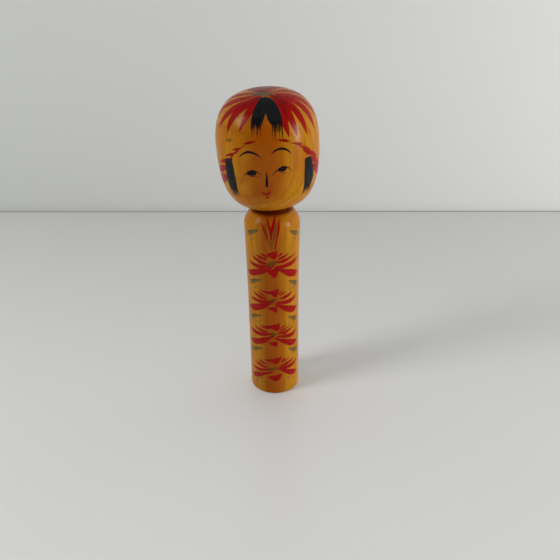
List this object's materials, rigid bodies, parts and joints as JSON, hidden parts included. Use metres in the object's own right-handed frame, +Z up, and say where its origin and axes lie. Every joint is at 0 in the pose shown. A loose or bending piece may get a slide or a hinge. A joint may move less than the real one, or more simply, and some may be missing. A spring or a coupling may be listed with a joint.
{
  "type": "kokeshi doll",
  "caption": "Turned wooden kokeshi doll: a round painted head whose tenon plugs into the shoulders of a straight cylindrical body and turns there.",
  "frame": {"origin": "centre of the flat foot, on the surface the doll stands on", "axes": "+Z up along the body, -Y towards the face, +X to the viewer's right"},
  "size_m": [0.0718, 0.0716, 0.24],
  "materials": {
    "head_wood": "waxed amber-coloured wood with red, black and green painting",
    "body_wood": "waxed amber-coloured wood with red and green painted flowers"
  },
  "bodies": {
    "body": {"body": "body_wood"},
    "head": {"head": "head_wood"}
  },
  "joints": [
    {"name": "head_turn", "type": "hinge", "parent": "body", "child": "head", "pos_m": [0, 0, 0.15741], "axis": [-0.0419, 0, 0.9991], "continuous": true}
  ]
}
